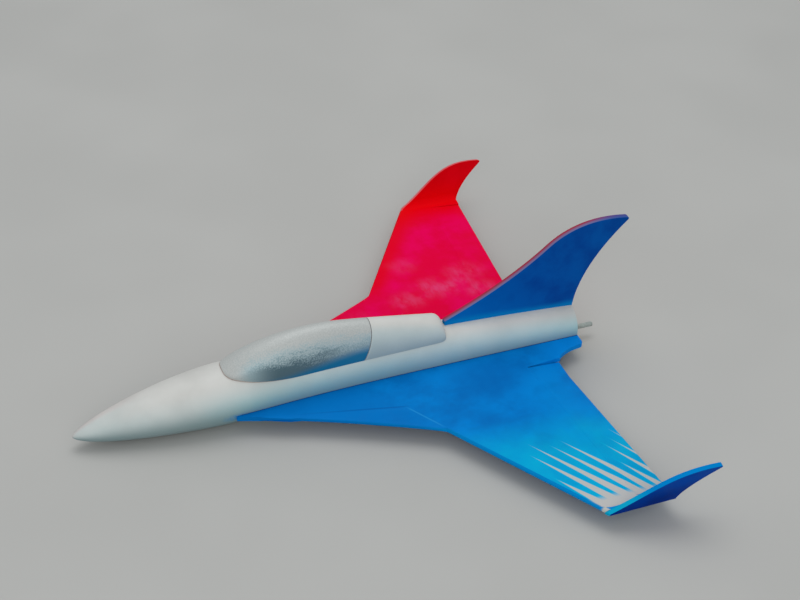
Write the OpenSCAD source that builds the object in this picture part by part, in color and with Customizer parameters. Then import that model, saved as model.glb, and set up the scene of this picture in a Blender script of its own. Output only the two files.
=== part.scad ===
// Jet-shaped hand glider. A flat wing sheet runs through a lofted body, with hinged elevons
// in its trailing edge, upturned winglets, a fin and a lift-off canopy hatch.
// Frame: +X towards the nose, +Y towards the left wing, +Z up. The origin lies on the belly
// flat at half the length of the body. All sizes are in millimetres and degrees.

/* [Body] */
// Length from the nose tip to the tail end
body_len = 600; // [590:1:620]
// Length of the nose, from its tip to the widest section
nose_len = 168; // [160:1:178]
// Half width and half height of the widest section
body_r = 35.3; // [33.5:0.1:37]
// Radius of the round tail end
tail_r = 25.6; // [24.5:0.1:27]
// Length over which the body narrows behind its widest section
waist_run = 95; // [80:1:110]
// Depth of the flat cut into the belly at the widest section
belly_cut = 1.8; // [1.2:0.1:2.4]
// How far the nose tip hangs below the body axis
nose_drop = 17.2; // [14:0.1:20]
// How far back from the tip the drooped centre line becomes level
droop_len = 210; // [190:1:240]
// How far the tail centre lies below the body axis
tail_drop = 4.7; // [3:0.1:6]
// Wall of the body shells
shell_wall = 4; // [3.5:0.1:5]
// Length of the solid nose block
nose_block_len = 176; // [168:1:184]

/* [Wing sheet] */
// Thickness of the wing sheet
sheet_t = 6; // [5:0.1:7]
// How far the middle of the wing sheet lies below the body axis
wing_drop = 12; // [11:0.1:13]
// Distance from the centre line to the wing tip
half_span = 300.5; // [292:0.5:310]
// Chord at the wing tip
tip_chord = 81; // [76:1:88]
// Sweep of the leading edge
le_sweep = 32; // [30:0.5:34]
// Sweep of the trailing edge and of the hinge line
te_sweep = 4.7; // [3:0.1:6]
// Trailing edge at the elevon's inner end, ahead of the tail end
te_ahead = 42.5; // [38:0.5:46]
// Where the leading edge meets the strake, out from the centre line
kink_y = 130; // [125:1:135]
// Where the seam between wing and strake turns forward
seam_y = 80; // [76:1:84]
// Bend of the strake's edge, ahead of the kink
strake_bend_x = 130; // [120:1:140]
// Bend of the strake's edge, out from the centre line
strake_bend_y = 62; // [58:1:66]
// Width of the strake's blunt front end beside the body
strake_front = 4; // [2:0.5:6]
// Thickness of the strakes
strake_t = 4.6; // [4:0.1:4.9]
// Half width of the tail shelf at the tail end
shelf_w = 42; // [38:0.5:46]
// Rounding of the tail shelf's rear corners
shelf_round = 6; // [3:0.5:8]
// Length of the rounded notch between the shelf and the trailing edge
notch_run = 23; // [18:1:28]

/* [Elevons] */
// Chord of the elevons behind their hinge line
elevon_chord = 38; // [34:1:44]
// Inner end of the elevons, out from the centre line
elevon_y0 = 61; // [59:1:66]
// Width of the fixed strip between elevon and wing tip
tip_strip = 9; // [8:0.5:14]
// Gap at the inner end of an elevon
elevon_gap = 1.4; // [1:0.1:2]
// Gap at the outer end of an elevon
tip_gap = 0.4; // [0.35:0.05:1]
// How far the inner end of an elevon's trailing edge flares back
heel = 3; // [2:0.5:5]
// Length of that flare along the hinge
heel_run = 30; // [20:1:40]
// Clearance between the elevon's round nose and the wing
hinge_clear = 0.3; // [0.25:0.05:0.4]
// Thickness of the elevons' trailing edge
elevon_te_t = 2.4; // [1.5:0.1:3]
// Droop of the left elevon at rest
left_droop = 5; // [0:1:8]
// Droop of the right elevon at rest
right_droop = 0; // [0:1:8]
// Largest turn of an elevon away from level
elevon_swing = 20; // [15:1:22]
// Radius of the hinge wires
wire_r = 0.8; // [0.6:0.05:0.9]
// Running clearance of the hinge wires in their eyes
wire_clear = 0.05; // [0.02:0.01:0.08]
// Number of eye tabs on each hinge
tab_count = 3; // [2:1:5]
// Width of an eye tab along the hinge
tab_w = 5; // [4:0.5:8]
// Thickness of an eye tab
tab_t = 2; // [1.6:0.1:2.2]
// Reach of an eye tab into the wing
tab_len = 12; // [9:1:16]
// Wall of an eye around its wire
eye_wall = 0.85; // [0.7:0.05:1]

/* [Fin and winglets] */
// Thickness of the fin
fin_t = 7; // [6:0.1:8]
// Gap between the deck's end and the front of the fin
fin_gap = 3.4; // [2:0.1:20]
// Height of the fin's upright front edge
fin_nose = 5.5; // [3:0.5:8]
// Height of the fin's highest point above its root at the tail
fin_h = 117; // [105:1:130]
// How far the fin's tip reaches behind the tail end
fin_rake = 65; // [55:1:75]
// Thickness of the winglets
winglet_t = 5; // [4:0.1:6]
// Height of the winglets along their lean
winglet_h = 53.5; // [47:0.5:59]
// How far the winglets' tips reach behind the wing tip's trailing edge
winglet_rake = 42; // [35:1:48]
// Lean of the winglets, outward from upright
winglet_cant = 18.5; // [14:0.5:21]

/* [Hatch] */
// How far the front of the canopy reaches over the nose block
canopy_lap = 6.5; // [4:0.1:8]
// Length of the canopy along its lower edge
canopy_len = 161; // [154:1:168]
// How far the joint between canopy and deck bows back over the top
joint_bow = 11.5; // [6:0.5:14]
// Length of the turtle deck along its lower edge
deck_len = 101; // [94:1:106]
// Height of the hatch's lower edge above the body axis
hatch_edge = 20; // [18:0.5:22]
// How far that edge climbs towards the front
hatch_edge_climb = 12; // [9:0.5:13]
// Rise of the canopy's highest point above the body
hump_rise = 30; // [26:0.5:33]
// Highest point of the canopy, back from its front
hump_back = 116; // [106:1:124]
// Fall of the hatch's top line per length, behind its highest point
hump_fall = 0.155; // [0.13:0.005:0.17]
// Radius of the deck's round end
deck_round = 9; // [7:0.5:10]
// Wall of the canopy and the deck
hatch_wall = 3; // [2.5:0.1:3.5]
// Clearance under the hatch's rim and around its plate
hatch_clear = 0.4; // [0.3:0.05:0.6]
// Half width of the bay opening
bay_half = 14; // [12:0.5:15]
// Front of the bay, back from the canopy's front
bay_front = 35; // [32:1:40]
// Rear of the bay, ahead of the deck's end
bay_rear = 32.1; // [26:0.1:44]
// Hatch plate's top below the top of the body
plate_drop = 8; // [7:0.5:10]
// Thickness of the hatch plate
plate_t = 3; // [3:0.1:4]
// Radius of the hatch magnets
magnet_r = 4; // [3:0.5:5]
// Thickness of the hatch magnets
magnet_t = 2; // [1.5:0.1:2]
// Length and height of the ledges that carry the hatch
ledge = [12, 6]; // [5:0.5:16]

/* [Inside] */
// Thickness of the formers
former_t = 4; // [3:0.1:5]
// Glue gap round pieces that are set into others
glue_gap = 0.1; // [0.05:0.01:0.15]
// Radius of the keel rod's free end
rod_r = 3; // [2.5:0.1:3.2]
// How much thinner the keel rod is inside the body, which leaves a shoulder at the tail
rod_shoulder = 0.3; // [0.2:0.05:0.5]
// Free length of the keel rod behind the tail
rod_reach = 33; // [25:1:40]
// Depth of the keel rod's socket in the nose block
rod_socket = 30; // [20:1:40]
// Width of the spars
spar_w = 10; // [8:0.5:14]
// Thickness of the spars
spar_t = 3; // [2:0.1:3.5]
// Front spar, ahead of the tail end
front_spar_ahead = 222; // [215:1:228]
// Half length of the front spar
front_spar_half = 85; // [75:1:90]
// Rear spar, ahead of the tail end
rear_spar_ahead = 135; // [128:1:142]
// Half length of the rear spar
rear_spar_half = 200; // [180:1:220]
// Radius of the nose ballast
ballast_r = 7; // [6:0.5:9]
// Length of the nose ballast
ballast_len = 50; // [40:1:60]
// Former in the tail, ahead of the tail end
tail_former_ahead = 98; // [90:1:110]
// Front belly former, behind the nose block
belly_former_back = 22; // [10:1:60]

/* [Hidden] */
$fn = 48;

// Fullness of the nose: how soon its sides level out, and how blunt its tip is
nose_turn = 1.5;
nose_power = 0.64;
// How late the top line falls towards the tail
tail_power = 2.6;
// How far the canopy's front line stays full before it falls
hump_power = 2.3;
// Length over which the canopy's top line turns from level to falling
hump_turn = 25;
// Squareness of the canopy's front outline
front_power = 4;
// Length of the canopy's rounded front outline
front_run = 12.5;
// Thickness of the canopy's front lip above the body
front_lip = 1.2;
// How much the deck's round end draws in at its sides, as a share of the top
end_share = 0.25;
// How soon the joint between canopy and deck bows back above its lower end
joint_power = 1.7;
// Share of a leading edge that is drawn before the tip of a fin or winglet is rounded off
tip_share = 0.965;
// Steps round a section, along the shells, along the nose and along the hatch
arc_steps = 28;
shell_steps = 26;
nose_steps = 18;
hatch_steps = 18;
curve_steps = 14;
// Depth that cutting shapes reach past what they cut
over = 1;

nose_x = body_len / 2;
tail_x = -body_len / 2;
wide_x = nose_x - nose_len;
join_x = nose_x - nose_block_len;
axis_z = body_r - belly_cut;
wing_z = axis_z - wing_drop;
sheet_top = wing_z + sheet_t / 2;
sheet_bottom = wing_z - sheet_t / 2;
rod_z = sheet_bottom - rod_r - glue_gap;
rod_core_r = rod_r - rod_shoulder;

// Stations of the hatch and of the bay under it
hatch_x0 = join_x + canopy_lap;
hatch_x1 = hatch_x0 - canopy_len;
deck_x0 = hatch_x1 - glue_gap;
deck_x1 = deck_x0 - deck_len;
hump_x = hatch_x0 - hump_back;
bay_x0 = hatch_x0 - bay_front;
bay_x1 = deck_x1 + bay_rear;
bay_len = bay_x0 - bay_x1;

// Sections of the body
tail_share = 1 / (1 + pow((wide_x - tail_x) / waist_run, 2));
waist_w = (tail_r - body_r * tail_share) / (1 - tail_share);

function nose_fill(s) = pow(max(1 - pow(1 - min(s / nose_len, 1), nose_turn), 0), nose_power);

function half_w(x) =
    x > wide_x
        ? body_r * nose_fill(nose_x - x)
        : waist_w + (body_r - waist_w) / (1 + pow((wide_x - x) / waist_run, 2));

function half_h(x) =
    x > wide_x
        ? body_r * nose_fill(nose_x - x)
        : body_r - (body_r - tail_r) * pow((wide_x - x) / (wide_x - tail_x), tail_power);

function mid_z(x) =
    nose_x - x < droop_len
        ? axis_z - nose_drop * (1 - sin(90 * (nose_x - x) / droop_len))
        : axis_z - tail_drop * pow((nose_x - x - droop_len) / (body_len - droop_len), 2);

function body_top(x) = mid_z(x) + half_h(x);

// Height of the body's upper surface at x and y, and its half width at x and z
function skin_z(x, y, out = 0) =
    mid_z(x) + (half_h(x) + out) * sqrt(max(1 - pow(y / (half_w(x) + out), 2), 0));

function skin_y(x, z, out = 0) =
    (half_w(x) + out) * sqrt(max(1 - pow((z - mid_z(x)) / (half_h(x) + out), 2), 0));

// Points of a section between two angles, on the body's surface moved out or in
function arc(x, from, to, out = 0, steps = arc_steps) = [
    for (i = [0 : steps])
        let (a = from + (to - from) * i / steps)
            [x, (half_w(x) + out) * cos(a), max(mid_z(x) + (half_h(x) + out) * sin(a), 0)]
];

function level_angle(x, z, out = 0) = asin((z - mid_z(x)) / (half_h(x) + out));

function reversed(list) = [for (i = [len(list) - 1 : -1 : 0]) list[i]];

function upper_ring(x) =
    let (a = level_angle(x, sheet_top), b = level_angle(x, sheet_top, -shell_wall))
        concat(arc(x, a, 180 - a), reversed(arc(x, b, 180 - b, -shell_wall)));

function lower_ring(x) =
    let (a = level_angle(x, sheet_bottom), b = level_angle(x, sheet_bottom, -shell_wall))
        concat(arc(x, 180 - a, 360 + a), reversed(arc(x, 180 - b, 360 + b, -shell_wall)));

// A closed skin over rings of points that run from the nose towards the tail
module loft(rings) {
    n = len(rings[0]);
    last = len(rings) - 1;
    points = [for (ring = rings) each ring];
    sides = [
        for (i = [0 : last - 1], j = [0 : n - 1])
            let (k = (j + 1) % n)
                each [
                    [i * n + j, i * n + k, (i + 1) * n + k],
                    [i * n + j, (i + 1) * n + k, (i + 1) * n + j]
                ]
    ];
    // The end caps are strips between the first and the second half of a ring
    front = [
        for (j = [0 : n / 2 - 2])
            each [[n - 1 - j, n - 2 - j, j + 1], [n - 1 - j, j + 1, j]]
    ];
    e = last * n;
    back = [
        for (j = [0 : n / 2 - 2])
            each [[e + j, e + j + 1, e + n - 2 - j], [e + j, e + n - 2 - j, e + n - 1 - j]]
    ];
    polyhedron(points, concat(sides, front, back));
}

function stations(from, to, steps) = [for (i = [0 : steps]) from + (to - from) * i / steps];

function bezier2(a, b, c, from = 0, to = 1, steps = curve_steps) = [
    for (i = [0 : steps])
        let (t = from + (to - from) * i / steps)
            (1 - t) * (1 - t) * a + 2 * t * (1 - t) * b + t * t * c
];

function bezier3(a, b, c, d, to = 1, steps = curve_steps) = [
    for (i = [0 : steps])
        let (t = to * i / steps, s = 1 - t)
            s * s * s * a + 3 * s * s * t * b + 3 * s * t * t * c + t * t * t * d
];

// Nose block and body shells
nose_tip_step = 0.4;

module nose_block() {
    color("white")
        difference() {
            loft([
                for (i = [0 : nose_steps])
                    let (s = max(nose_block_len * pow(i / nose_steps, 1.7), nose_tip_step))
                        arc(nose_x - s, 0, 360 - 180 / arc_steps, 0, 2 * arc_steps - 1)
            ]);
            rod(join_x - over, join_x + rod_socket, rod_core_r + glue_gap);
            ballast(glue_gap, over);
        }
}

module ballast(gap, start) {
    translate([join_x - start, 0, mid_z(join_x)])
        rotate([0, 90, 0])
            cylinder(r = ballast_r + gap, h = ballast_len + start + gap);
}

module nose_ballast() {
    color("gray")
        ballast(0, 0);
}

module upper_shell() {
    color("white")
        difference() {
            loft([for (x = stations(join_x, tail_x, shell_steps)) upper_ring(x)]);
            translate([bay_x1, -bay_half, axis_z])
                cube([bay_len, 2 * bay_half, 2 * body_r]);
            translate([tail_x - over, -fin_t / 2, axis_z])
                cube([fin_root + over, fin_t, 2 * body_r]);
        }
}

module lower_shell() {
    color("white")
        loft([for (x = stations(join_x, tail_x, shell_steps)) lower_ring(x)]);
}

// Formers: half moons over and under the wing sheet
module slab(x, t) {
    translate([x, 0, 0])
        rotate([90, 0, 90])
            linear_extrude(t)
                children();
}

function flat(points) = [for (p = points) [p[1], p[2]]];

module upper_former(x) {
    inset = -shell_wall - glue_gap;
    a = level_angle(x, sheet_top, inset);
    color("burlywood")
        slab(x, former_t)
            polygon(flat(arc(x, a, 180 - a, inset)));
}

module lower_former(x) {
    inset = -shell_wall - glue_gap;
    a = level_angle(x, sheet_bottom, inset);
    color("burlywood")
        slab(x, former_t)
            difference() {
                polygon(flat(arc(x, 180 - a, 360 + a, inset)));
                translate([0, rod_z])
                    circle(rod_core_r + glue_gap);
                translate([-rod_core_r - glue_gap, rod_z])
                    square([2 * (rod_core_r + glue_gap), 2 * rod_r]);
            }
}

module former_front() {
    upper_former(join_x - former_t);
}

module former_bay_front() {
    upper_former(bay_x0);
}

module former_bay_rear() {
    upper_former(bay_x1 - former_t);
}

module former_tail() {
    upper_former(tail_x + tail_former_ahead);
}

module tail_plug() {
    upper_former(tail_x);
}

module belly_former_front() {
    lower_former(join_x - belly_former_back - former_t);
}

module belly_former_mid() {
    lower_former(tail_x + front_spar_ahead - former_t / 2);
}

module belly_former_rear() {
    lower_former(tail_x + rear_spar_ahead - former_t / 2);
}

module belly_tail_plug() {
    lower_former(tail_x);
}

// Keel rod under the wing sheet
module rod(from, to, r) {
    translate([from, 0, rod_z])
        rotate([0, 90, 0])
            cylinder(r = r, h = to - from);
}

module keel_rod() {
    color("lightgray") {
        rod(tail_x - rod_reach, tail_x, rod_r);
        rod(tail_x - over, join_x + rod_socket - glue_gap, rod_core_r);
    }
}

// Wing sheet. The left panel is drawn and the right one is its mirror image.
te_x0 = tail_x + te_ahead;
tip_le_x = te_x0 - (half_span - elevon_y0) * tan(te_sweep) + tip_chord;

function te_x(y) = te_x0 - (y - elevon_y0) * tan(te_sweep);

function le_x(y) = tip_le_x + (half_span - y) * tan(le_sweep);

kink = [le_x(kink_y), kink_y];
seam = [le_x(seam_y), seam_y];
strake_start = [join_x, skin_y(join_x, sheet_bottom) + strake_front];
strake_bend = [kink[0] + strake_bend_x, strake_bend_y];
// Share of the strake's edge that belongs to the wing sheet itself
strake_share = 0.14;

notch_start = [te_x0 - heel, elevon_y0];
notch_end = [notch_start[0] - notch_run, shelf_w + 0.1 * (elevon_y0 - shelf_w)];
notch_bend = [notch_start[0] - notch_run / 15, 0.6 * notch_end[1] + 0.4 * elevon_y0];
shelf_corner = [
    [tail_x + shelf_round, shelf_w], [tail_x, shelf_w], [tail_x, shelf_w - shelf_round]
];

function wing_outline(tip_y) = concat(
    [[tail_x, 0], [join_x, 0]],
    bezier2(strake_start, strake_bend, kink, 0, strake_share),
    [seam, [le_x(tip_y), tip_y], [te_x(tip_y), tip_y], [te_x0, elevon_y0]],
    bezier2(notch_start, notch_bend, notch_end),
    bezier2(shelf_corner[0], shelf_corner[1], shelf_corner[2])
);

function strake_outline() = concat(
    bezier2(strake_start, strake_bend, kink, strake_share, 1),
    [seam]
);

module sheet(t) {
    translate([0, 0, wing_z - t / 2])
        linear_extrude(t)
            children();
}

module left_half_wing() {
    difference() {
        sheet(sheet_t)
            polygon(wing_outline(half_span + sheet_t));
        at_winglet()
            translate([-body_len, 0, -body_len / 2])
                cube([2 * body_len, body_len, body_len]);
        at_hinge() {
            translate([-2 * elevon_chord, 0, -sheet_t])
                cube([2 * elevon_chord, hinge_len, 2 * sheet_t]);
            along_hinge(0, hinge_len)
                circle(sheet_t / 2 + hinge_clear);
            for (y = tab_places)
                translate([0, y - tab_w / 2 - glue_gap, -tab_t / 2 - glue_gap])
                    cube([tab_len + glue_gap, tab_w + 2 * glue_gap, tab_t + 2 * glue_gap]);
        }
        spar(front_spar_ahead, front_spar_half, glue_gap);
        spar(rear_spar_ahead, rear_spar_half, glue_gap);
    }
}

module left_wing() {
    color("dodgerblue")
        left_half_wing();
}

module right_wing() {
    color("crimson")
        mirror([0, 1, 0])
            left_half_wing();
}

module left_strake() {
    color("dodgerblue")
        sheet(strake_t)
            polygon(strake_outline());
}

module right_strake() {
    color("crimson")
        mirror([0, 1, 0])
            sheet(strake_t)
                polygon(strake_outline());
}

// Spars let into the underside of the sheet
module spar(ahead, half, gap) {
    translate([tail_x + ahead - spar_w / 2 - gap, -half - gap, sheet_bottom - over * sign(gap)])
        cube([spar_w + 2 * gap, 2 * (half + gap), spar_t + gap + over * sign(gap)]);
}

module front_spar() {
    color("tan")
        spar(front_spar_ahead, front_spar_half, 0);
}

module rear_spar() {
    color("tan")
        spar(rear_spar_ahead, rear_spar_half, 0);
}

// Elevons, their hinge wires and the eye tabs that carry the wires
hinge_len = (half_span - tip_strip - elevon_y0) / cos(te_sweep);
hinge_x0 = te_x0 + elevon_chord / cos(te_sweep);
// Margin of the first and last eye tab, as a share of the hinge
tab_margin = 0.1;
tab_places = [
    for (i = [0 : tab_count - 1])
        hinge_len * (tab_margin + (1 - 2 * tab_margin) * i / (tab_count - 1))
];
eye_r = wire_r + wire_clear + eye_wall;

module at_hinge() {
    translate([hinge_x0, elevon_y0, wing_z])
        rotate([0, 0, te_sweep])
            children();
}

module along_hinge(from, to) {
    translate([0, to, 0])
        rotate([90, 0, 0])
            linear_extrude(to - from)
                children();
}

// The room that a tab needs in the elevon's nose over the whole swing
module tab_sweep() {
    reach = sheet_t * [cos(elevon_swing), sin(elevon_swing)];
    polygon([[0, 0], reach, [reach[0], -reach[1]]]);
    for (a = [-elevon_swing, elevon_swing])
        rotate(a)
            translate([0, -tab_t / 2 - hinge_clear])
                square([sheet_t, tab_t + 2 * hinge_clear]);
}

module half_elevon(droop) {
    nose_r = sheet_t / 2;
    at_hinge()
        rotate([0, -droop, 0])
            difference() {
                intersection() {
                    along_hinge(elevon_gap, hinge_len - tip_gap) {
                        circle(nose_r);
                        polygon([
                            [0, nose_r], [-elevon_chord - heel, elevon_te_t / 2],
                            [-elevon_chord - heel, -elevon_te_t / 2], [0, -nose_r]
                        ]);
                    }
                    linear_extrude(2 * sheet_t, center = true)
                        polygon([
                            [sheet_t, 0], [sheet_t, hinge_len], [-elevon_chord, hinge_len],
                            [-elevon_chord, heel_run], [-elevon_chord - heel, 0]
                        ]);
                }
                along_hinge(0, hinge_len)
                    circle(wire_r + wire_clear);
                for (y = tab_places)
                    along_hinge(y - tab_w / 2 - elevon_gap / 2, y + tab_w / 2 + elevon_gap / 2) {
                        circle(eye_r + hinge_clear);
                        tab_sweep();
                    }
            }
}

module half_wire() {
    at_hinge()
        along_hinge(2 * elevon_gap, hinge_len - 2 * tip_gap)
            circle(wire_r);
}

module half_tabs() {
    at_hinge()
        for (y = tab_places)
            difference() {
                union() {
                    along_hinge(y - tab_w / 2, y + tab_w / 2)
                        circle(eye_r);
                    translate([0, y - tab_w / 2, -tab_t / 2])
                        cube([tab_len, tab_w, tab_t]);
                }
                along_hinge(y - tab_w, y + tab_w)
                    circle(wire_r + wire_clear);
            }
}

module left_elevon() {
    color("dodgerblue")
        half_elevon(left_droop);
}

module right_elevon() {
    color("crimson")
        mirror([0, 1, 0])
            half_elevon(right_droop);
}

module left_hinge_wire() {
    color("silver")
        half_wire();
}

module right_hinge_wire() {
    color("silver")
        mirror([0, 1, 0])
            half_wire();
}

module left_hinge_tabs() {
    color("gray")
        half_tabs();
}

module right_hinge_tabs() {
    color("gray")
        mirror([0, 1, 0])
            half_tabs();
}

// Winglets lean outward from the wing tips
winglet_foot = sheet_t / 2 / cos(winglet_cant);
winglet_te_x = te_x(half_span);
winglet_tip = [winglet_te_x - winglet_rake, 0.94 * winglet_h];
winglet_reach = tip_le_x - winglet_tip[0];

// Points that round off the corner between the end of one line and the start of another
function rounded(before, corner, after) =
    bezier2(before[len(before) - 1], corner, after[0], 0.2, 0.8, 4);

module at_winglet() {
    translate([0, half_span, wing_z])
        rotate([-winglet_cant, 0, 0])
            children();
}

module half_winglet() {
    le = bezier3(
        [tip_le_x, 0],
        [tip_le_x - 0.39 * winglet_reach, 0.54 * winglet_h],
        [tip_le_x - 0.487 * winglet_reach, 1.143 * winglet_h],
        winglet_tip, tip_share
    );
    te = bezier2(
        winglet_tip, [winglet_te_x - 0.1 * winglet_rake, 0.41 * winglet_h], [winglet_te_x, 0],
        2 * (1 - tip_share)
    );
    trim = 3 * winglet_t;
    difference() {
        at_winglet()
            translate([0, winglet_t, 0])
                rotate([90, 0, 0])
                    linear_extrude(winglet_t)
                        polygon(concat(
                            [[tip_le_x, -winglet_foot]], le, rounded(le, winglet_tip, te), te,
                            [[winglet_te_x, -winglet_foot]]
                        ));
        // The foot is trimmed in line with the wing's leading edge and its underside
        translate([tip_le_x, half_span, 0])
            linear_extrude(wing_z + sheet_t)
                polygon([[0, 0], [-trim * tan(le_sweep), trim], [trim, trim], [trim, 0]]);
        translate([tip_le_x - body_len, half_span - trim, sheet_bottom - trim])
            cube([2 * body_len, 2 * trim, trim]);
    }
}

module left_winglet() {
    color("mediumblue")
        half_winglet();
}

module right_winglet() {
    color("red")
        mirror([0, 1, 0])
            half_winglet();
}

// Fin in its slot along the top of the tail
fin_front_x = deck_x1 - fin_gap;
fin_root = fin_front_x - tail_x;
fin_base_z = body_top(tail_x);
fin_depth = shell_wall - glue_gap;

module fin() {
    start = [fin_front_x, body_top(fin_front_x) + fin_nose];
    back = [tail_x, fin_base_z];
    tip = [tail_x - fin_rake, fin_base_z + 0.957 * fin_h];
    knee = [tail_x + 0.236 * fin_root, fin_base_z + 0.775 * fin_h];
    bend = [tail_x + 0.526 * fin_root, fin_base_z + 0.424 * fin_h];
    lean = (knee - bend) / (bend[0] - knee[0]);
    le = bezier2(start, bend, knee);
    crown = bezier3(
        knee, knee + 0.29 * fin_rake * lean, tip + [0.83 * fin_rake, 0.088 * fin_h], tip, tip_share
    );
    te = bezier2(tip, [tail_x - 0.11 * fin_rake, fin_base_z + 0.497 * fin_h], back, 1 - tip_share);
    root = [
        for (x = stations(tail_x, fin_front_x, curve_steps))
            [x, body_top(x) - fin_depth]
    ];
    color("blue")
        translate([0, fin_t / 2, 0])
            rotate([90, 0, 0])
                linear_extrude(fin_t)
                    polygon(concat(le, crown, rounded(crown, tip, te), te, root));
}

// Hatch: canopy and turtle deck on a plate that drops into the bay
edge_z = axis_z + hatch_edge;
climb_x = hatch_x0 - 0.565 * canopy_len;
plate_z = body_top(hump_x) - plate_drop - plate_t;
ledge_z = plate_z - hatch_clear;

function climb(x) = hatch_edge_climb * pow(max(x - climb_x, 0) / (hatch_x0 - climb_x), 2.2);

function front_round(x) =
    pow(max(1 - pow(max(x - hatch_x0 + front_run, 0) / front_run, front_power), 0.001), 1 / front_power);

// How far the deck's round end draws in at x
function end_round(x) =
    let (d = deck_round - min(x - deck_x1, deck_round))
        deck_round - sqrt(deck_round * deck_round - d * d);

function hatch_w(x) =
    skin_y(x, edge_z + climb(x)) * front_round(x) - end_round(x) * end_share;

function hump(x) =
    x > hump_x
        ? hump_rise * (1 - pow((x - hump_x) / (hatch_x0 - hump_x), hump_power))
        : hump_rise - hump_fall * (sqrt(pow(hump_x - x, 2) + hump_turn * hump_turn) - hump_turn);

function hatch_top(x) = body_top(x) + front_lip + hatch_clear + hump(x) - end_round(x);

// Inner surface of the hatch: a thinner copy of the outer one that stays clear of the body
function hatch_inner(x, y) =
    let (w = hatch_w(x) - hatch_wall, foot = skin_z(x, w), top = hatch_top(x) - hatch_wall)
        foot + (top - foot) * sqrt(max(1 - pow(y / w, 2), 0));

// How far a ring of the hatch bows back at an angle over its lower edge
function bowed(bow, a) = bow * (1 - pow(1 - max(sin(a), 0), joint_power));

// A ring of the hatch that starts at x on its lower edge and bows back over the top
function hatch_ring(x, hollow, bow = 0) =
    let (
        outer = [
            for (a = stations(0, 180, arc_steps))
                let (
                    xa = x - bowed(bow, a),
                    w = hatch_w(xa),
                    foot = skin_z(xa, w) + hatch_clear
                )
                    [xa, w * cos(a), foot + (hatch_top(xa) - foot) * sin(a)]
        ],
        inner = [
            for (a = stations(180, 0, arc_steps))
                let (
                    xa = x - bowed(bow, a),
                    w = hatch_w(xa),
                    y = max(w - hatch_wall, w / 2) * cos(a),
                    seat = skin_z(xa, y) + hatch_clear
                )
                    [xa, y, hollow ? max(seat, hatch_inner(xa, y)) : seat]
        ]
    )
        concat(outer, inner);

module canopy() {
    // The stations crowd towards the rounded front, and the rings bow back towards the joint
    color("silver")
        loft([
            for (t = stations(0, 1, hatch_steps))
                let (x = hatch_x0 - canopy_len * pow(t, 1.7))
                    hatch_ring(x, x < bay_x0 + former_t, joint_bow * pow(t, 3))
        ]);
}

module turtle_deck() {
    // The last stations crowd into the round end, which is closed
    end_x = deck_x1 + deck_round;
    plain = [
        for (t = stations(0, 1, hatch_steps / 2))
            hatch_ring(deck_x0 + (end_x - deck_x0) * t, true, joint_bow * (1 - t))
    ];
    round_end = [
        for (a = stations(0, 85, hatch_steps / 2))
            hatch_ring(end_x - glue_gap - (deck_round - glue_gap) * sin(a), false)
    ];
    color("white")
        loft(concat(plain, round_end));
}

module hatch_former(x, t) {
    half = bay_half - 2 * hatch_clear;
    ys = stations(-half, half, arc_steps);
    color("burlywood")
        slab(x, t)
            polygon(concat(
                [[half, plate_z + plate_t], [-half, plate_z + plate_t]],
                [for (y = ys) [y, min(hatch_inner(x, y), hatch_inner(x + t, y)) - glue_gap]]
            ));
}

module hatch_former_front() {
    hatch_former(bay_x0 - 4 * former_t, former_t);
}

module hatch_former_mid() {
    hatch_former(hatch_x1 - joint_bow - former_t, 2 * former_t);
}

module hatch_former_rear() {
    hatch_former(bay_x1 + 2 * former_t, former_t);
}

magnet_xs = [bay_x0 - ledge[0] / 2, bay_x1 + ledge[0] / 2];

module magnet_discs(z, gap) {
    for (x = magnet_xs)
        translate([x, 0, z])
            cylinder(r = magnet_r + gap, h = magnet_t);
}

module hatch_plate() {
    color("burlywood")
        difference() {
            translate([bay_x1 + hatch_clear, -bay_half + hatch_clear, plate_z])
                cube([bay_len - 2 * hatch_clear, 2 * (bay_half - hatch_clear), plate_t]);
            magnet_discs(plate_z, glue_gap);
        }
}

module hatch_magnets() {
    color("silver")
        magnet_discs(plate_z, 0);
}

module bay_ledges() {
    color("burlywood")
        difference() {
            for (x = [bay_x0 - ledge[0], bay_x1])
                translate([x, -bay_half, ledge_z - ledge[1]])
                    cube([ledge[0], 2 * bay_half, ledge[1]]);
            magnet_discs(ledge_z - magnet_t, glue_gap);
        }
}

module bay_magnets() {
    color("silver")
        magnet_discs(ledge_z - magnet_t, 0);
}

nose_block();
nose_ballast();
upper_shell();
lower_shell();
former_front();
former_bay_front();
former_bay_rear();
former_tail();
tail_plug();
belly_former_front();
belly_former_mid();
belly_former_rear();
belly_tail_plug();
keel_rod();
left_wing();
right_wing();
front_spar();
rear_spar();
left_strake();
right_strake();
left_winglet();
right_winglet();
fin();
left_hinge_tabs();
right_hinge_tabs();
bay_ledges();
bay_magnets();
left_elevon();
left_hinge_wire();
right_elevon();
right_hinge_wire();
canopy();
turtle_deck();
hatch_former_front();
hatch_former_mid();
hatch_former_rear();
hatch_plate();
hatch_magnets();
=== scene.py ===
"""Looks of the jet-shaped hand glider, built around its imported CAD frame.

Shapes are written in millimetres in the frame of the part: +X to the nose, +Y to the left wing, +Z up.
Paints are laid out in metres in the same frame, with their colours given as sRGB values.
"""

import math
from collections import namedtuple

import bmesh
import bpy
from mathutils import Matrix, Vector


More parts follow.
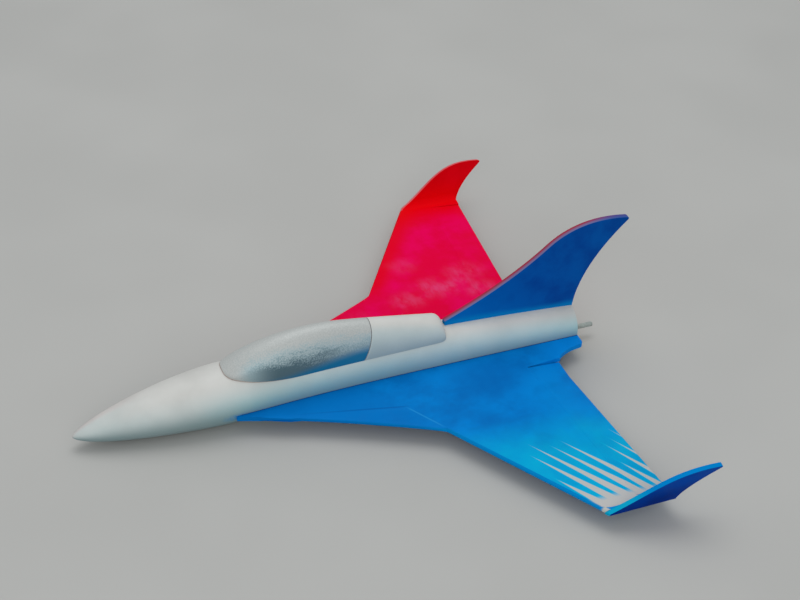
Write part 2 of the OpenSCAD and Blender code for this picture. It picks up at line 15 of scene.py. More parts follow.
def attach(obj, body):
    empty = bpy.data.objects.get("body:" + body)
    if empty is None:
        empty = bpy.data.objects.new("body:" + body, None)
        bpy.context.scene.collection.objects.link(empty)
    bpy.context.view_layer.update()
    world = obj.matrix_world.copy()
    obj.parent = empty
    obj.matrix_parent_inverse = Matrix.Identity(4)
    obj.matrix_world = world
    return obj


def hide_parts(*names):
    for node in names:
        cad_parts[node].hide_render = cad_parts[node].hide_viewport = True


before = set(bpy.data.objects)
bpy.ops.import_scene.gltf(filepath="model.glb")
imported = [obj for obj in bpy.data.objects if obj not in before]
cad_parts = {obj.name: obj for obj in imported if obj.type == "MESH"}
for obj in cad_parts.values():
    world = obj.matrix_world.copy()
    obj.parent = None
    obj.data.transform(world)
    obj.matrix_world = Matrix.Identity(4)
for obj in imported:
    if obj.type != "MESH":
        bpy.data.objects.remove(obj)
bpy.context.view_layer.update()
scene = bpy.context.scene
MM = 0.001


# Camera at the photograph's viewing angle

CAMERA_PLACE = (0.40616, 1.21749, 1.08460)
CAMERA_RIGHT = (-0.9350628, 0.3536250, 0.0246360)
CAMERA_UP = (-0.1923668, -0.5645788, 0.8026493)
CAMERA_BACK = (0.2977458, 0.7457883, 0.5959423)
SENSOR_WIDTH = 36
FOCAL_LENGTH = 65

camera_data = bpy.data.cameras.new("camera")
camera_data.sensor_width = SENSOR_WIDTH
camera_data.lens = FOCAL_LENGTH
camera = bpy.data.objects.new("camera", camera_data)
columns = (CAMERA_RIGHT, CAMERA_UP, CAMERA_BACK, CAMERA_PLACE)
camera.matrix_world = Matrix([[c[row] for c in columns] for row in range(3)] + [[0, 0, 0, 1]])
scene.collection.objects.link(camera)
scene.camera = camera
scene.view_settings.view_transform = "Standard"


# Rows of numbers

def spread(start, end, steps):
    return [start + (end - start) * i / steps for i in range(steps + 1)]


def marks(points, steps):
    """Even steps between each two neighbours of a list, with the points themselves kept."""
    line = [points[0]]
    for a, b, n in zip(points, points[1:], steps):
        line += spread(a, b, n)[1:]
    return line


def around(steps):
    """The angles of a full turn, without the last one that closes it."""
    return spread(0, 2 * math.pi, steps)[:-1]


def root(value):
    """Square root that takes a value just under zero as zero."""
    return math.sqrt(max(value, 0))


# Body: the same sections as the CAD solids

NOSE_X = 300
TAIL_X = -300
NOSE_LEN = 168
WIDE_X = NOSE_X - NOSE_LEN
JOIN_X = 124
FIN_FRONT = -135.0
BODY_R = 35.3
TAIL_R = 25.6
WAIST_RUN = 95
NOSE_TURN = 1.5
NOSE_POWER = 0.64
TAIL_POWER = 2.6
AXIS_Z = 33.5
NOSE_DROP = 17.2
DROOP_LEN = 210
TAIL_DROP = 4.7

TAIL_SHARE = 1 / (1 + ((WIDE_X - TAIL_X) / WAIST_RUN) ** 2)
WAIST_W = (TAIL_R - BODY_R * TAIL_SHARE) / (1 - TAIL_SHARE)


def nose_fill(s):
    """Share of the full radius at a distance behind the nose tip."""
    return max(1 - (1 - min(s / NOSE_LEN, 1)) ** NOSE_TURN, 0) ** NOSE_POWER


def half_w(x):
    if x > WIDE_X:
        return BODY_R * nose_fill(NOSE_X - x)
    return WAIST_W + (BODY_R - WAIST_W) / (1 + ((WIDE_X - x) / WAIST_RUN) ** 2)


def half_h(x):
    if x > WIDE_X:
        return BODY_R * nose_fill(NOSE_X - x)
    return BODY_R - (BODY_R - TAIL_R) * ((WIDE_X - x) / (WIDE_X - TAIL_X)) ** TAIL_POWER


def mid_z(x):
    s = NOSE_X - x
    if s < DROOP_LEN:
        return AXIS_Z - NOSE_DROP * (1 - math.sin(math.pi / 2 * s / DROOP_LEN))
    return AXIS_Z - TAIL_DROP * ((s - DROOP_LEN) / (NOSE_X - TAIL_X - DROOP_LEN)) ** 2


def body_top(x):
    return mid_z(x) + half_h(x)


def skin_z(x, y):
    return mid_z(x) + half_h(x) * root(1 - (y / half_w(x)) ** 2)


def skin_y(x, z):
    return half_w(x) * root(1 - ((z - mid_z(x)) / half_h(x)) ** 2)


def on_skin(x, angle, out=0):
    """The point of the section at x that lies at an angle from the left side, moved out."""
    y = (half_w(x) + out) * math.cos(angle)
    z = mid_z(x) + (half_h(x) + out) * math.sin(angle)
    return (x, y, max(z, 0))


def level_angle(x, z, out):
    """Angle at which the section at x, moved out, crosses a height."""
    return math.asin((z - mid_z(x)) / (half_h(x) + out))


def side_angle(x, y, out):
    """Angle at which the section at x, moved out, crosses a distance from the centre line."""
    return math.acos(y / (half_w(x) + out))


# Outline of the wings and strakes

WING_Z = 21.5
SHEET_HALF = 3
SHEET_TOP = WING_Z + SHEET_HALF
SHEET_BOTTOM = WING_Z - SHEET_HALF
HALF_SPAN = 300.5
TIP_LE = -196.19
TIP_TE = -277.19
LE_SWEEP = math.radians(32)
TE_SWEEP = math.radians(4.7)
WINGLET_LEAN = math.radians(18.5)
# Where the leading edge meets the strake, and where the seam between the two turns forward
KINK_Y = 130
SEAM_Y = 80
STRAKE_FRONT = 4
# Bend of the strake's edge: ahead of the kink, and out from the centre line
STRAKE_BEND = (130, 62)
# Shares of the strake's edge that face the front end and the corner of its seam
STRAKE_SHARE = 0.14
STRAKE_TURN = 0.6


def le_x(y):
    return TIP_LE + (HALF_SPAN - y) * math.tan(LE_SWEEP)


def strake_edge(t):
    """Outer edge of the strake, from the body at 0 to the kink at 1."""
    start = (JOIN_X, skin_y(JOIN_X, SHEET_BOTTOM) + STRAKE_FRONT)
    bend = (le_x(KINK_Y) + STRAKE_BEND[0], STRAKE_BEND[1])
    points = (start, bend, (le_x(KINK_Y), KINK_Y))
    shares = ((1 - t) ** 2, 2 * t * (1 - t), t * t)
    return Vector([sum(s * p[k] for s, p in zip(shares, points)) for k in (0, 1)])


SEAM_CORNERS = (strake_edge(STRAKE_SHARE), Vector((le_x(SEAM_Y), SEAM_Y)), Vector((le_x(KINK_Y), KINK_Y)))


def strake_seam(t):
    """The point of the seam that faces the strake's edge."""
    first = t < STRAKE_TURN
    low, high = (STRAKE_SHARE, STRAKE_TURN) if first else (STRAKE_TURN, 1)
    a, b = SEAM_CORNERS[:2] if first else SEAM_CORNERS[1:]
    return a + (b - a) * (t - low) / (high - low)


# Mesh helpers

# Edges that turn by more than this angle stay sharp in the shading
SHARP = math.radians(38)
# Numbers of a shell's materials: its outside, its inside and edges, and the line at a joint
OUTSIDE = 0
WALL = 1
JOINT = 2


def make_piece(name, mesh_bm, body, materials, stands_for=()):
    """Turns a bmesh in metres into a smooth-shaded piece that rides on a body."""
    mesh = bpy.data.meshes.new(name)
    mesh_bm.to_mesh(mesh)
    mesh_bm.free()
    mesh.polygons.foreach_set("use_smooth", [True] * len(mesh.polygons))
    mesh.set_sharp_from_angle(angle=SHARP)
    for material in materials:
        mesh.materials.append(material)
    piece = bpy.data.objects.new(name, mesh)
    scene.collection.objects.link(piece)
    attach(piece, body)
    if stands_for:
        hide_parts(*stands_for)
    return piece


def from_points(points, faces, face_materials=None):
    """A closed bmesh in metres from points in millimetres, with its normals facing out."""
    mesh_bm = bmesh.new()
    verts = [mesh_bm.verts.new(Vector(p) * MM) for p in points]
    for n, face in enumerate(faces):
        made = mesh_bm.faces.new([verts[i] for i in face])
        if face_materials:
            made.material_index = face_materials[n]
    bmesh.ops.delete(mesh_bm, geom=[v for v in mesh_bm.verts if not v.link_faces], context="VERTS")
    bmesh.ops.recalc_face_normals(mesh_bm, faces=mesh_bm.faces)
    return mesh_bm


def shell(outer, inner, keep=None, joint_rows=()):
    """A wall between two grids of points, over the quads that keep names, closed at every edge."""
    rows, cols = len(outer), len(outer[0])
    off = rows * cols
    points = [p for row in outer for p in row] + [p for row in inner for p in row]
    faces, kinds = [], []

    def kept(i, j):
        inside = 0 <= i < rows - 1 and 0 <= j < cols - 1
        return inside and (keep is None or keep(i, j))

    for i in range(rows - 1):
        for j in range(cols - 1):
            if not kept(i, j):
                continue
            a, b = i * cols + j, i * cols + j + 1
            d, c = a + cols, b + cols
            faces += [(a, b, c, d), (a + off, d + off, c + off, b + off)]
            kinds += [JOINT if i in joint_rows else OUTSIDE, WALL]
            for p, q, ni, nj in ((a, b, i - 1, j), (b, c, i, j + 1), (c, d, i + 1, j), (d, a, i, j - 1)):
                if not kept(ni, nj):
                    faces.append((q, p, p + off, q + off))
                    kinds.append(WALL)
    return from_points(points, faces, kinds)


def tube(rings):
    """A closed skin over full rings of points; an end ring may be a single point."""
    points = [p for ring in rings for p in ring]
    starts = [sum(len(r) for r in rings[:k]) for k in range(len(rings))]
    faces = []
    for k in range(len(rings) - 1):
        a, b = rings[k], rings[k + 1]
        n = max(len(a), len(b))
        for j in range(n):
            m = (j + 1) % n
            ring_a = [starts[k] + j, starts[k] + m] if len(a) > 1 else [starts[k]]
            ring_b = [starts[k + 1] + m, starts[k + 1] + j] if len(b) > 1 else [starts[k + 1]]
            faces.append(ring_a + ring_b)
    if len(rings[0]) > 1:
        faces.append(list(range(len(rings[0])))[::-1])
    if len(rings[-1]) > 1:
        faces.append([starts[-1] + j for j in range(len(rings[-1]))])
    return from_points(points, faces)


# Material helpers

# Share of a level surface's colour that the scene's light gives back
LIGHT = 0.95
AHEAD = (1, 0, 0)
LEFT = (0, 1, 0)
UP = (0, 0, 1)


def paint(red, green, blue):
    """Linear colour of a surface that looks like this sRGB colour under the scene's light."""
    line = []
    for value in (red, green, blue):
        v = max(value, 0) / 255
        line.append((v / 12.92 if v <= 0.04045 else ((v + 0.055) / 1.055) ** 2.4) / LIGHT)
    return (min(line[0], 1), min(line[1], 1), min(line[2], 1), 1)


class Look:
    """A node material whose colours and bumps are laid out in the frame's own metres."""

    def __init__(self, name, roughness=0.5, specular=0.2, metallic=0.0):
        self.material = bpy.data.materials.new(name)
        self.material.use_nodes = True
        self.tree = self.material.node_tree
        self.shader = self.tree.nodes["Principled BSDF"]
        self.shader.inputs["Roughness"].default_value = roughness
        self.shader.inputs["Specular IOR Level"].default_value = specular
        self.shader.inputs["Metallic"].default_value = metallic
        place = self.tree.nodes.new("ShaderNodeTexCoord")
        self.place = place.outputs["Object"]
        self.normal = place.outputs["Normal"]

    def put(self, socket, value):
        if isinstance(value, bpy.types.NodeSocket):
            self.tree.links.new(value, socket)
        else:
            socket.default_value = value

    def compute(self, kind, a, b=0.0):
        node = self.tree.nodes.new("ShaderNodeMath")
        node.operation = kind
        self.put(node.inputs[0], a)
        self.put(node.inputs[1], b)
        return node.outputs[0]

    def vector(self, kind, a, b, out=0):
        node = self.tree.nodes.new("ShaderNodeVectorMath")
        node.operation = kind
        self.put(node.inputs[0], a)
        self.put(node.inputs[1], b)
        return node.outputs[out]

    def along(self, direction, add=0.0, of=None):
        """Place, or another vector, measured along a direction."""
        value = self.vector("DOT_PRODUCT", of or self.place, direction, 1)
        return self.compute("ADD", value, add) if add else value

    def far(self, point, stretch=(1, 1, 1)):
        """Distance from a point, in metres, with the axes stretched."""
        apart = self.vector("SUBTRACT", self.place, point)
        node = self.tree.nodes.new("ShaderNodeVectorMath")
        node.operation = "LENGTH"
        self.put(node.inputs[0], self.vector("MULTIPLY", apart, stretch))
        return node.outputs[1]

    def span(self, value, low, high, out_low=0.0, out_high=1.0):
        """A smooth step from one output to the other while a value goes from low to high."""
        node = self.tree.nodes.new("ShaderNodeMapRange")
        node.interpolation_type = "SMOOTHSTEP"
        for n, v in enumerate((value, low, high, out_low, out_high)):
            self.put(node.inputs[n], v)
        return node.outputs[0]

    def vary(self, noise, out_low, out_high, reach=0.2):
        """Spreads the middle of a noise, which lies round a half, over a range."""
        return self.span(noise, 0.5 - reach, 0.5 + reach, out_low, out_high)

    def noise(self, scale, detail=3.0, rough=0.55, stretch=None, shift=(0, 0, 0)):
        spot = self.place
        if stretch or any(shift):
            node = self.tree.nodes.new("ShaderNodeMapping")
            node.inputs["Location"].default_value = shift
            node.inputs["Scale"].default_value = stretch or (1, 1, 1)
            self.put(node.inputs["Vector"], spot)
            spot = node.outputs[0]
        node = self.tree.nodes.new("ShaderNodeTexNoise")
        self.put(node.inputs["Vector"], spot)
        self.put(node.inputs["Scale"], scale)
        self.put(node.inputs["Detail"], detail)
        self.put(node.inputs["Roughness"], rough)
        return node.outputs[0]

    def mix(self, share, a, b):
        node = self.tree.nodes.new("ShaderNodeMix")
        node.data_type = "RGBA"
        self.put(node.inputs[0], share)
        self.put(node.inputs[6], a)
        self.put(node.inputs[7], b)
        return node.outputs[2]

    def times(self, *values):
        result = values[0]
        for value in values[1:]:
            result = self.compute("MULTIPLY", result, value)
        return result

    def two_tone(self, noise, first, second, reach=0.2):
        """Two shades of a paint, shared out by a noise."""
        return self.mix(self.vary(noise, 0.0, 1.0, reach), paint(*first), paint(*second))

    def coat(self, colour, shade, *shares):
        """Another shade over a colour, as thick as the product of the shares."""
        return self.mix(self.times(*shares), colour, paint(*shade))

    def finish(self, colour, height=None, depth=0.0, strength=0.0, roughness=None):
        """Sets the colour and, where they are given, a bump of a depth in metres and the roughness."""
        self.put(self.shader.inputs["Base Color"], colour)
        if roughness is not None:
            self.put(self.shader.inputs["Roughness"], roughness)
        if height is not None:
            node = self.tree.nodes.new("ShaderNodeBump")
            node.inputs["Strength"].default_value = strength
            node.inputs["Distance"].default_value = depth
            self.put(node.inputs["Height"], height)
            self.put(self.shader.inputs["Normal"], node.outputs[0])
        return self.material


# Paints

SPRAY_DEPTH = 0.0002
SPRAY_BUMP = 0.35
LINE_DEPTH = 0.0001
BALSA_PALE = (214, 186, 146)
BALSA_DARK = (184, 150, 108)
# Grain along the body, and along the span of a wing
LONG_GRAIN = (0.35, 1, 1)
CROSS_GRAIN = (1, 0.35, 1)

WING_TOP = SHEET_TOP * MM
STRAKE_TIP = (JOIN_X * MM, 0.034, WING_Z * MM)
# Distances from the centre line between which the bare wood inside the body turns to paint
BARE_FADE = (0.0243, 0.0237)
CHIP_Z = 0.0225
CHIP_FADE = 0.003
CHIP_RAGGED = 0.006
STREAK_PITCH = 0.0135
# Distance of the leading edge's line, and of the inner leg of the seam, from the origin
EDGE_BASE = le_x(0) * math.cos(LE_SWEEP) * MM
seam_leg = (SEAM_CORNERS[1] - SEAM_CORNERS[0]).normalized()
SEAM_ACROSS = (seam_leg.y, -seam_leg.x, 0)
SEAM_BASE = -(SEAM_ACROSS[0] * SEAM_CORNERS[1].x + SEAM_ACROSS[1] * SEAM_CORNERS[1].y) * MM
# Thin spots in the red paint: place, reach and strength
CLOUDS = (
    (-0.133, -0.104, 0.028, 0.4), (-0.170, -0.119, 0.03, 0.55), (-0.189, -0.116, 0.026, 0.55),
    (-0.210, -0.124, 0.022, 0.48), (-0.222, -0.141, 0.028, 0.52), (-0.229, -0.100, 0.026, 0.52),
    (-0.150, -0.175, 0.024, 0.22), (-0.060, -0.084, 0.026, 0.2),
)


def white_look():
    """White sprayed over sanded sheet, tinted low on the sides by the wings' overspray together with
    painted reflected light from the wings, with painted shade on the faces that turn downwards.
    """
    look = Look("white_body", specular=0.25)
    up, ahead = look.along(UP), look.along(AHEAD)
    cloud = look.noise(16, 4)
    grain = look.noise(420, 3, 0.6, stretch=LONG_GRAIN)
    colour = look.two_tone(cloud, (194, 194, 190), (206, 206, 202))
    drift = look.vary(look.noise(34, 4, 0.6), 0.7, 1.0)
    side = look.span(look.along(LEFT), -0.004, 0.004)
    # Pink on the right and cyan on the left, low on the sides near the wings: the wings' overspray together
    # with painted reflected light from the wings
    overspray_and_reflected_tint = look.mix(side, paint(206, 148, 160), paint(112, 202, 216))
    low = look.times(look.span(up, 0.058, 0.026), look.span(ahead, 0.19, 0.09, 0.2, 1.0), drift)
    low = look.times(low, look.span(ahead, 0.0, -0.12, 0.68, 0.45))
    colour = look.mix(low, colour, overspray_and_reflected_tint)
    # Faces that turn sideways take more of the same tint: painted reflection of the wings' colours
    abeam = look.compute("ABSOLUTE", look.along(LEFT, of=look.normal))
    painted_wing_reflection = look.times(look.span(abeam, 0.5, 1.0), look.span(ahead, 0.2, 0.05, 0.3, 1), 0.2)
    colour = look.mix(painted_wing_reflection, colour, overspray_and_reflected_tint)
    # Faces that turn downwards are darkened: painted shade
    painted_under_shade = look.span(look.along(UP, of=look.normal), 0.5, -0.35)
    colour = look.coat(colour, (112, 138, 142), painted_under_shade, 0.75)
    tip = look.far(STRAKE_TIP, (0.6, 1, 1.3))
    fuzz = look.times(look.span(tip, 0.012, 0.002), look.vary(look.noise(300, 3), 0.3, 0.9, reach=0.15))
    colour = look.coat(colour, (60, 140, 190), fuzz)
    speck = look.span(look.noise(520, 2, 0.5), 0.74, 0.8)
    colour = look.coat(colour, (120, 118, 112), speck, 0.25)
    rough = look.vary(look.noise(60, 3), 0.42, 0.56)
    height = look.compute("ADD", grain, look.times(cloud, 0.6))
    return look.finish(colour, height, SPRAY_DEPTH, SPRAY_BUMP, rough)


def silver_look():
    """Silver paint with a painted reflection: pale above, dark along the sides, blue low at the back."""
    look = Look("silver_canopy", specular=0.22, metallic=0.15)
    up, ahead = look.along(UP), look.along(AHEAD)
    grain = look.noise(700, 2, 0.65)
    fleck = look.noise(1500, 2, 0.5, shift=(0.3, 0.1, 0.7))
    streak = look.noise(150, 3, 0.6, stretch=(0.3, 1, 1))
    colour = look.two_tone(grain, (175, 179, 177), (188, 191, 189))
    ragged = look.compute("ADD", look.vary(grain, -0.09, 0.09), look.vary(streak, -0.06, 0.06))
    facing = look.compute("ADD", look.along(UP, of=look.normal), ragged)
    facing = look.compute("SUBTRACT", facing, look.span(ahead, 0.04, 0.11, 0.0, 0.24))
    # Faces that turn away from the top go grey, and the steepest go dark: painted reflection
    painted_grey_reflection = look.span(facing, 0.68, 0.3)
    colour = look.coat(colour, (140, 184, 196), painted_grey_reflection, look.span(ahead, 0.122, 0.1), 0.5)
    dark = look.times(look.span(facing, 0.46, 0.12), look.span(ahead, 0.123, 0.07))
    colour = look.coat(colour, (52, 84, 96), dark, look.span(ahead, -0.03, 0.04, 0.35, 0.85))
    # A blue band low along the rear of the canopy's sides: painted reflection
    blue_reflection_height = look.compute("SUBTRACT", up, look.span(ahead, 0.085, -0.035, 0.0535, 0.0685))
    colour = look.coat(colour, (0, 114, 156), look.span(blue_reflection_height, 0.007, -0.006), 0.95)
    rough = look.vary(fleck, 0.42, 0.56, reach=0.15)
    height = look.compute("ADD", grain, look.times(fleck, 0.5))
    return look.finish(colour, height, SPRAY_DEPTH, 0.22, rough)


def behind_edge(look, sign):
    """Distance behind the leading edge of the left (1) or right (-1) wing."""
    return look.along((-math.cos(LE_SWEEP), -sign * math.sin(LE_SWEEP), 0), EDGE_BASE)


def worn_corner(look, colour, sign, reach, shade):
    """Paint chipped off the front corner of a wing tip."""
    chip = look.far((TIP_LE * MM, sign * HALF_SPAN * MM, CHIP_Z))
    ragged = look.compute("ADD", chip, look.times(look.noise(260, 3), CHIP_RAGGED))
    return look.coat(colour, shade, look.span(ragged, reach, reach - CHIP_FADE))


def bare_inside(look, colour, grain, out):
    """The stretch of a wing sheet that lies inside the body is left unpainted."""
    wood = look.two_tone(grain, BALSA_PALE, BALSA_DARK, reach=0.15)
    return look.mix(look.span(out, *BARE_FADE), colour, wood)


def sheet_grain(look, stretch):
    return look.noise(380, 3, 0.6, stretch=stretch)


def sheet_finish(look, colour, grain, drift, uneven=None):
    """Fine grain over slow drifts, with an uneven gloss."""
    rough = look.vary(uneven or look.noise(60, 3), 0.42, 0.58)
    height = look.compute("ADD", grain, look.times(drift, 0.5))
    return look.finish(colour, height, SPRAY_DEPTH, SPRAY_BUMP, rough)


def tip_stripes(look, colour, edge, out):
    """White stripes that taper in from the wing tip, each its own length, over cyan overspray."""
    top = look.span(look.along(UP, of=look.normal), 0.55, 0.8)
    inboard = look.compute("SUBTRACT", HALF_SPAN * MM, out)
    row = look.compute("DIVIDE", edge, STREAK_PITCH)
    wave = look.compute("ABSOLUTE", look.compute("SUBTRACT", look.compute("FRACT", row), 0.5))
    chance = look.tree.nodes.new("ShaderNodeTexWhiteNoise")
    chance.noise_dimensions = "1D"
    look.put(chance.inputs["W"], look.compute("ADD", look.compute("FLOOR", row), 3.5))
    reach = look.span(chance.outputs[0], 0, 1, 0.055, 0.115)
    taper = look.times(look.compute("SUBTRACT", 1, look.compute("DIVIDE", inboard, reach)), 0.42)
    inside = look.compute("SUBTRACT", taper, wave)
    halo = look.times(look.span(inside, -0.34, 0.02), look.span(inboard, 0.16, 0.08))
    over = look.times(look.span(inboard, 0.17, 0.09), look.vary(look.noise(28, 3), 0.65, 1))
    cyan = look.compute("MAXIMUM", halo, look.times(over, 0.9))
    colour = look.coat(colour, (0, 176, 214), cyan, top, 0.9)
    white = look.compute("MAXIMUM", look.span(inside, -0.03, 0.05), look.span(inboard, 0.022, 0.012))
    return look.coat(colour, (186, 186, 184), white, top)


def blue_look():
    """Blue sprayed in drifts over the left wing, with a feathered white and cyan tip."""
    look = Look("blue_wing", specular=0.03)
    out, edge = look.along(LEFT), behind_edge(look, 1)
    drift = look.noise(17, 4, 0.6, stretch=(0.8, 1, 1))
    fine = look.noise(60, 3, 0.55, shift=(0.4, 0.2, 0))
    mottle = look.compute("ADD", look.times(drift, 0.75), look.times(fine, 0.25))
    colour = look.two_tone(mottle, (0, 107, 184), (0, 127, 208), reach=0.14)
    dark = look.far((-0.165, 0.062, WING_TOP), (0.8, 1, 1))
    colour = look.coat(colour, (0, 100, 176), look.span(dark, 0.06, 0.005), 0.7)
    bright = look.times(look.span(edge, 0.06, 0.0), look.span(out, 0.125, 0.17))
    colour = look.coat(colour, (0, 140, 214), bright, 0.55)
    # A light line along the outer leg of the seam between wing and strake: painted highlight on its edge
    seam_highlight = look.span(look.compute("ABSOLUTE", edge), 0.0013, 0.0004)
    seam_highlight = look.times(seam_highlight, look.span(out, 0.078, 0.09), look.span(out, 0.13, 0.118))
    colour = look.coat(colour, (40, 152, 216), seam_highlight, 0.6)
    # Upright cut faces outboard are painted lighter: painted highlight
    edge_face_highlight = look.span(look.compute("ABSOLUTE", look.along(UP, of=look.normal)), 0.8, 0.35)
    colour = look.coat(colour, (0, 150, 224), edge_face_highlight, look.span(out, 0.07, 0.1), 0.8)
    colour = look.coat(colour, (0, 109, 187), look.span(edge, 0.012, -0.02), 0.7)
    shelf = look.times(look.span(look.along(AHEAD), -0.225, -0.275), look.span(out, 0.075, 0.055))
    colour = look.coat(colour, (0, 136, 226), shelf, 0.7)
    inner_seam = look.span(look.compute("ABSOLUTE", look.along(SEAM_ACROSS, SEAM_BASE)), 0.0016, 0.0004)
    inner_seam = look.times(inner_seam, look.span(out, 0.05, 0.07), look.span(out, 0.082, 0.078))
    colour = look.coat(colour, (0, 78, 150), inner_seam, 0.45)
    light = look.far((-0.232, 0.14, WING_TOP), (1, 0.7, 1))
    colour = look.coat(colour, (0, 136, 212), look.span(light, 0.06, 0.0), 0.6)
    colour = tip_stripes(look, colour, edge, out)
    colour = worn_corner(look, colour, 1, 0.009, (196, 196, 190))
    grain = sheet_grain(look, CROSS_GRAIN)
    colour = bare_inside(look, colour, grain, out)
    return sheet_finish(look, colour, grain, drift, fine)


def red_look():
    """Red sprayed over the right wing, thin and pink in clouds near the root."""
    look = Look("red_wing", specular=0.015)
    out, edge = look.along((0, -1, 0)), behind_edge(look, -1)
    drift = look.noise(20, 4, 0.6)
    colour = look.two_tone(drift, (225, 0, 60), (232, 0, 88), reach=0.15)
    rim = look.times(look.span(edge, 0.03, 0.006), look.span(out, 0.11, 0.15))
    colour = look.coat(colour, (226, 0, 38), rim)
    colour = look.coat(colour, (228, 0, 12), look.span(out, 0.238, 0.298))
    wisp = look.noise(70, 4, 0.62, stretch=(1, 0.5, 1), shift=(0.13, 0.4, 0))
    wisp = look.span(wisp, 0.36, 0.66, 0.1, 1)
    thin = 0.0
    for x, y, size, share in CLOUDS:
        near = look.times(look.span(look.far((x, y, WING_TOP), (0.75, 1, 1)), size, 0.0), share)
        thin = look.compute("MAXIMUM", thin, near)
    colour = look.coat(colour, (216, 84, 134), thin, wisp)
    colour = worn_corner(look, colour, -1, 0.008, (214, 130, 134))
    grain = sheet_grain(look, CROSS_GRAIN)
    colour = bare_inside(look, colour, grain, out)
    return sheet_finish(look, colour, grain, drift)


def winglet_look(name, sign, outer, edge, inner):
    """Winglet paint: the outer face is painted darker as painted shade, the cut edges lighter as painted
    highlight, and the inner face has its own shades.
    """
    look = Look(name, specular=0.012)
    facing = look.along((0, sign * math.cos(WINGLET_LEAN), -math.sin(WINGLET_LEAN)), of=look.normal)
    drift = look.noise(30, 4, 0.6)
    rise = look.span(look.along(UP), 0.024, 0.060)
    # The outer face is painted darker than the inner face: painted shade
    shaded_outside = look.two_tone(drift, *outer[:2])
    shaded_outside = look.coat(shaded_outside, outer[2], rise, 0.6)
    inside = look.two_tone(drift, *inner[:2])
    inside = look.mix(look.times(rise, 0.8), paint(*inner[2]), inside)
    # The cut edges are painted lighter: painted highlight
    ahead = look.span(look.along(AHEAD), -0.245, -0.215)
    painted_edge_highlight = look.mix(ahead, paint(*edge[0]), paint(*edge[1]))
    colour = look.mix(look.span(facing, -0.9, -0.6), inside, painted_edge_highlight)
    colour = look.mix(look.span(facing, 0.6, 0.9), colour, shaded_outside)
    return sheet_finish(look, colour, sheet_grain(look, LONG_GRAIN), drift)


def fin_look():
    """Fin paint: blue on the left, red on the right, both thin over the pale cut edge."""
    look = Look("fin_two_tone", specular=0.03)
    up, ahead = look.along(UP), look.along(AHEAD)
    facing = look.along(LEFT, of=look.normal)
    drift = look.noise(24, 4, 0.6)
    blue = look.two_tone(drift, (0, 68, 150), (0, 84, 166), reach=0.16)
    low = look.span(look.along((0.5, 0, -0.5)), -0.175, -0.11)
    blue = look.coat(blue, (0, 106, 188), low, 0.9)
    body_line = look.span(
        ahead, TAIL_X * MM, FIN_FRONT * MM, body_top(TAIL_X) * MM, body_top(FIN_FRONT) * MM
    )
    foot = look.compute("SUBTRACT", up, body_line)
    blue = look.coat(blue, (0, 126, 196), look.span(foot, 0.011, 0.001), 0.9)
    red = look.two_tone(drift, (196, 0, 30), (218, 4, 62), reach=0.16)
    rim = look.mix(look.span(look.along(LEFT), -0.002, 0.0025), paint(150, 50, 70), paint(112, 106, 146))
    rim = look.coat(rim, (20, 76, 150), look.span(ahead, -0.30, -0.355, 0, 0.8))
    rim = look.mix(look.span(look.along(AHEAD, of=look.normal), 0.85, 0.95), rim, blue)
    colour = look.mix(look.span(facing, -0.9, -0.55), red, rim)
    colour = look.mix(look.span(facing, 0.55, 0.9), colour, blue)
    return sheet_finish(look, colour, sheet_grain(look, LONG_GRAIN), drift)


def wood_look(name, pale, dark, stretch):
    """Bare wood with its grain along one axis."""
    look = Look(name, specular=0.25)
    grain = look.noise(300, 5, 0.6, stretch=stretch)
    band = look.noise(60, 3, 0.5, stretch=stretch)
    colour = look.two_tone(grain, pale, dark, reach=0.15)
    colour = look.coat(colour, dark, look.span(band, 0.5, 0.7), 0.35)
    return look.finish(colour, grain, 0.0003, 0.4, look.vary(grain, 0.62, 0.8))


def metal_look(name, shade, roughness):
    """Plain metal with fine drawn lines."""
    look = Look(name, specular=0.5, metallic=1.0)
    line = look.noise(900, 3, 0.6, stretch=(1, 0.1, 1))
    colour = look.two_tone(line, [0.88 * s for s in shade], shade)
    return look.finish(colour, line, LINE_DEPTH, 0.25, look.vary(line, roughness, roughness + 0.15))


def plain_look(name, shade, roughness=0.6, scale=500):
    """Plain paint on a narrow line, bead or rod, with a little unevenness."""
    look = Look(name)
    fleck = look.noise(scale, 3)
    colour = look.two_tone(fleck, [0.85 * s for s in shade], shade)
    return look.finish(colour, fleck, LINE_DEPTH, 0.3, look.vary(fleck, roughness, roughness + 0.12))


WHITE = white_look()
SILVER = silver_look()
BLUE = blue_look()
RED = red_look()
# Winglet colours: the outer face with painted shade, the cut edges with painted highlight, then the inner
# face
BLUE_WINGLET = winglet_look(
    "blue_winglet_shaded", 1, ((0, 40, 122), (0, 54, 148), (0, 80, 184)),
    ((0, 126, 198), (10, 160, 200)), ((0, 100, 180), (0, 122, 204), (0, 118, 200)),
)
SCARLET = winglet_look(
    "scarlet_winglet", -1, ((176, 0, 16), (200, 0, 24), (206, 0, 22)),
    ((214, 84, 92), (216, 104, 110)), ((204, 0, 16), (220, 2, 24), (228, 0, 8)),
)
FIN = fin_look()
BALSA = wood_look("bare_balsa", BALSA_PALE, BALSA_DARK, (0.12, 1, 1))
CROSS_BALSA = wood_look("cross_balsa", (210, 182, 142), (180, 146, 104), (1, 1, 0.12))
SPRUCE = wood_look("spar_wood", (206, 172, 124), (170, 128, 80), (1, 0.1, 1))
ROD = plain_look("rod_paint", (164, 174, 170), 0.45, 260)
STEEL = metal_look("wire_steel", (176, 178, 182), 0.28)
NICKEL = metal_look("magnet_nickel", (200, 202, 204), 0.2)
LEAD = metal_look("ballast_steel", (128, 130, 134), 0.45)
RIM = plain_look("canopy_rim", (184, 166, 156))
SEAM = plain_look("joint_line", (140, 144, 146))
BLUE_BEAD = plain_look("blue_bead", (0, 66, 138))
